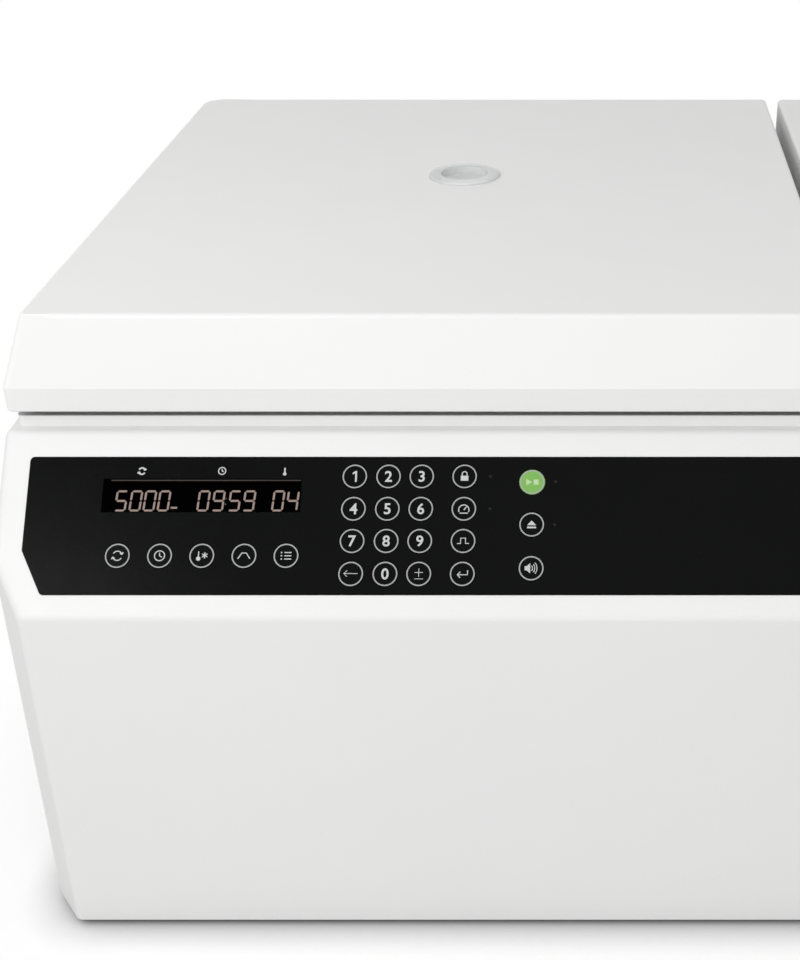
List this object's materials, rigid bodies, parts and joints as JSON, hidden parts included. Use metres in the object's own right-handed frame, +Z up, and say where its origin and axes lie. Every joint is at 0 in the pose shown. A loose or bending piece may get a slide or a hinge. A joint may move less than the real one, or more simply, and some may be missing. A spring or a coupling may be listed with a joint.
{
  "type": "refrigerated centrifuge",
  "caption": "Bench refrigerated centrifuge with a hinged lid over a cooled swing-out rotor chamber, a fixed hood over the compressor and a sloping control panel.",
  "frame": {"origin": "on the bench, under the middle of the cabinet", "axes": "+X is the operator's right, +Y is the back, +Z is up"},
  "size_m": [0.704, 0.604, 0.382],
  "materials": {
    "painted_shell": "satin white powder coat",
    "white_moulding": "satin white moulding",
    "rear_steel": "satin light grey coat",
    "chassis_steel": "zinc grey",
    "black_overlay": "fine textured black film",
    "black_key": "black with a white printed ring",
    "green_key": "translucent green",
    "circuit_board": "green board",
    "stainless": "brushed",
    "machined_alloy": "machined",
    "dark_alloy": "dark anodised",
    "plated_steel": "bright plated",
    "motor_casting": "grey paint",
    "compressor_black": "gloss black",
    "copper": "bare copper",
    "rubber_black": "matt",
    "foam": "cut foam",
    "clear_window": "clear",
    "black_plastic": "matt black"
  },
  "bodies": {
    "cabinet": {"chassis": "chassis_steel", "rubber_feet": "rubber_black", "cabinet_shell": "painted_shell", "rear_panel": "rear_steel", "top_deck": "white_moulding", "compressor_cover": "white_moulding", "control_overlay": "black_overlay", "control_board": "circuit_board", "power_board": "circuit_board", "rotor_bowl": "stainless", "bowl_insulation": "foam", "chamber_seal": "rubber_black", "drive_motor": "motor_casting", "compressor": "compressor_black", "condenser": "machined_alloy", "refrigerant_pipes": "copper", "fan_shroud": "black_plastic", "lock_housing": "plated_steel", "hinge_brackets": "plated_steel", "power_inlet": "black_plastic"},
    "lid": {"lid_shell": "white_moulding", "lid_liner": "stainless", "viewport_window": "clear_window", "lid_striker": "plated_steel", "hinge_arms": "plated_steel"},
    "drive": {"drive_shaft": "plated_steel", "swing_rotor": "machined_alloy"},
    "bucket_1": {"bucket_1": "dark_alloy"},
    "bucket_2": {"bucket_2": "dark_alloy"},
    "bucket_3": {"bucket_3": "dark_alloy"},
    "bucket_4": {"bucket_4": "dark_alloy"},
    "fan": {"fan_blades": "black_plastic"},
    "hook": {"lock_hook": "plated_steel"},
    "spring_rod": {"gas_spring_rod": "plated_steel"},
    "spring_tube": {"gas_spring_tube": "compressor_black"},
    "switch": {"power_switch": "black_plastic"},
    "key_1": {"key_1": "black_key"},
    "key_2": {"key_2": "black_key"},
    "key_3": {"key_3": "black_key"},
    "key_4": {"key_4": "black_key"},
    "key_5": {"key_5": "black_key"},
    "key_6": {"key_6": "black_key"},
    "key_7": {"key_7": "black_key"},
    "key_8": {"key_8": "black_key"},
    "key_9": {"key_9": "black_key"},
    "key_back": {"key_back": "black_key"},
    "key_0": {"key_0": "black_key"},
    "key_sign": {"key_sign": "black_key"},
    "key_lock": {"key_lock": "black_key"},
    "key_set_speed": {"key_set_speed": "black_key"},
    "key_pulse": {"key_pulse": "black_key"},
    "key_enter": {"key_enter": "black_key"},
    "key_start_stop": {"key_start_stop": "green_key"},
    "key_open": {"key_open": "black_key"},
    "key_sound": {"key_sound": "black_key"},
    "key_speed": {"key_speed": "black_key"},
    "key_time": {"key_time": "black_key"},
    "key_temperature": {"key_temperature": "black_key"},
    "key_ramp": {"key_ramp": "black_key"},
    "key_program": {"key_program": "black_key"}
  },
  "joints": [
    {"name": "lid_hinge", "type": "hinge", "parent": "cabinet", "child": "lid", "pos_m": [-0.101, 0.295, 0.331], "axis": [-1, 0, 0], "range_deg": [0, 68]},
    {"name": "spring_rod_pivot", "type": "hinge", "parent": "lid", "child": "spring_rod", "pos_m": [-0.331, 0.205, 0.331], "axis": [1, 0, 0], "range_deg": [0, 37.2]},
    {"name": "spring_slide", "type": "slide", "parent": "spring_rod", "child": "spring_tube", "axis": [0, 0.5529, -0.8332], "range_m": [0, 0.069]},
    {"name": "rotor_spin", "type": "hinge", "parent": "cabinet", "child": "drive", "pos_m": [-0.101, 0.058, 0.2], "axis": [0, 0, 1], "continuous": true},
    {"name": "bucket_1_swing", "type": "hinge", "parent": "drive", "child": "bucket_1", "pos_m": [-0.008, 0.058, 0.235], "axis": [0, -1, 0], "range_deg": [0, 90]},
    {"name": "bucket_2_swing", "type": "hinge", "parent": "drive", "child": "bucket_2", "pos_m": [-0.101, 0.151, 0.235], "axis": [1, 0, 0], "range_deg": [0, 90]},
    {"name": "bucket_3_swing", "type": "hinge", "parent": "drive", "child": "bucket_3", "pos_m": [-0.194, 0.058, 0.235], "axis": [0, 1, 0], "range_deg": [0, 90]},
    {"name": "bucket_4_swing", "type": "hinge", "parent": "drive", "child": "bucket_4", "pos_m": [-0.101, -0.035, 0.235], "axis": [-1, 0, 0], "range_deg": [0, 90]},
    {"name": "fan_spin", "type": "hinge", "parent": "cabinet", "child": "fan", "pos_m": [0.305, -0.12, 0.135], "axis": [1, 0, 0], "continuous": true},
    {"name": "hook_swing", "type": "hinge", "parent": "cabinet", "child": "hook", "pos_m": [-0.101, -0.206, 0.268], "axis": [-1, 0, 0], "range_deg": [0, 22]},
    {"name": "switch_rock", "type": "hinge", "parent": "cabinet", "child": "switch", "pos_m": [-0.23, 0.288, 0.101], "axis": [-1, 0, 0], "range_deg": [0, 18]},
    {"name": "key_1_press", "type": "slide", "parent": "cabinet", "child": "key_1", "axis": [0, 0.7314, -0.682], "range_m": [0, 0.0005], "stiffness_N_per_m": 1200},
    {"name": "key_2_press", "type": "slide", "parent": "cabinet", "child": "key_2", "axis": [0, 0.7314, -0.682], "range_m": [0, 0.0005], "stiffness_N_per_m": 1200},
    {"name": "key_3_press", "type": "slide", "parent": "cabinet", "child": "key_3", "axis": [0, 0.7314, -0.682], "range_m": [0, 0.0005], "stiffness_N_per_m": 1200},
    {"name": "key_4_press", "type": "slide", "parent": "cabinet", "child": "key_4", "axis": [0, 0.7314, -0.682], "range_m": [0, 0.0005], "stiffness_N_per_m": 1200},
    {"name": "key_5_press", "type": "slide", "parent": "cabinet", "child": "key_5", "axis": [0, 0.7314, -0.682], "range_m": [0, 0.0005], "stiffness_N_per_m": 1200},
    {"name": "key_6_press", "type": "slide", "parent": "cabinet", "child": "key_6", "axis": [0, 0.7314, -0.682], "range_m": [0, 0.0005], "stiffness_N_per_m": 1200},
    {"name": "key_7_press", "type": "slide", "parent": "cabinet", "child": "key_7", "axis": [0, 0.7314, -0.682], "range_m": [0, 0.0005], "stiffness_N_per_m": 1200},
    {"name": "key_8_press", "type": "slide", "parent": "cabinet", "child": "key_8", "axis": [0, 0.7314, -0.682], "range_m": [0, 0.0005], "stiffness_N_per_m": 1200},
    {"name": "key_9_press", "type": "slide", "parent": "cabinet", "child": "key_9", "axis": [0, 0.7314, -0.682], "range_m": [0, 0.0005], "stiffness_N_per_m": 1200},
    {"name": "key_back_press", "type": "slide", "parent": "cabinet", "child": "key_back", "axis": [0, 0.7314, -0.682], "range_m": [0, 0.0005], "stiffness_N_per_m": 1200},
    {"name": "key_0_press", "type": "slide", "parent": "cabinet", "child": "key_0", "axis": [0, 0.7314, -0.682], "range_m": [0, 0.0005], "stiffness_N_per_m": 1200},
    {"name": "key_sign_press", "type": "slide", "parent": "cabinet", "child": "key_sign", "axis": [0, 0.7314, -0.682], "range_m": [0, 0.0005], "stiffness_N_per_m": 1200},
    {"name": "key_lock_press", "type": "slide", "parent": "cabinet", "child": "key_lock", "axis": [0, 0.7314, -0.682], "range_m": [0, 0.0005], "stiffness_N_per_m": 1200},
    {"name": "key_set_speed_press", "type": "slide", "parent": "cabinet", "child": "key_set_speed", "axis": [0, 0.7314, -0.682], "range_m": [0, 0.0005], "stiffness_N_per_m": 1200},
    {"name": "key_pulse_press", "type": "slide", "parent": "cabinet", "child": "key_pulse", "axis": [0, 0.7314, -0.682], "range_m": [0, 0.0005], "stiffness_N_per_m": 1200},
    {"name": "key_enter_press", "type": "slide", "parent": "cabinet", "child": "key_enter", "axis": [0, 0.7314, -0.682], "range_m": [0, 0.0005], "stiffness_N_per_m": 1200},
    {"name": "key_start_stop_press", "type": "slide", "parent": "cabinet", "child": "key_start_stop", "axis": [0, 0.7314, -0.682], "range_m": [0, 0.0005], "stiffness_N_per_m": 1200},
    {"name": "key_open_press", "type": "slide", "parent": "cabinet", "child": "key_open", "axis": [0, 0.7314, -0.682], "range_m": [0, 0.0005], "stiffness_N_per_m": 1200},
    {"name": "key_sound_press", "type": "slide", "parent": "cabinet", "child": "key_sound", "axis": [0, 0.7314, -0.682], "range_m": [0, 0.0005], "stiffness_N_per_m": 1200},
    {"name": "key_speed_press", "type": "slide", "parent": "cabinet", "child": "key_speed", "axis": [0, 0.7314, -0.682], "range_m": [0, 0.0005], "stiffness_N_per_m": 1200},
    {"name": "key_time_press", "type": "slide", "parent": "cabinet", "child": "key_time", "axis": [0, 0.7314, -0.682], "range_m": [0, 0.0005], "stiffness_N_per_m": 1200},
    {"name": "key_temperature_press", "type": "slide", "parent": "cabinet", "child": "key_temperature", "axis": [0, 0.7314, -0.682], "range_m": [0, 0.0005], "stiffness_N_per_m": 1200},
    {"name": "key_ramp_press", "type": "slide", "parent": "cabinet", "child": "key_ramp", "axis": [0, 0.7314, -0.682], "range_m": [0, 0.0005], "stiffness_N_per_m": 1200},
    {"name": "key_program_press", "type": "slide", "parent": "cabinet", "child": "key_program", "axis": [0, 0.7314, -0.682], "range_m": [0, 0.0005], "stiffness_N_per_m": 1200}
  ],
  "couplings": [
    {"joint": "spring_rod_pivot", "follows": "lid_hinge", "ratio": 0.545},
    {"joint": "spring_slide", "follows": "lid_hinge", "m_per_rad": 0.058}
  ]
}
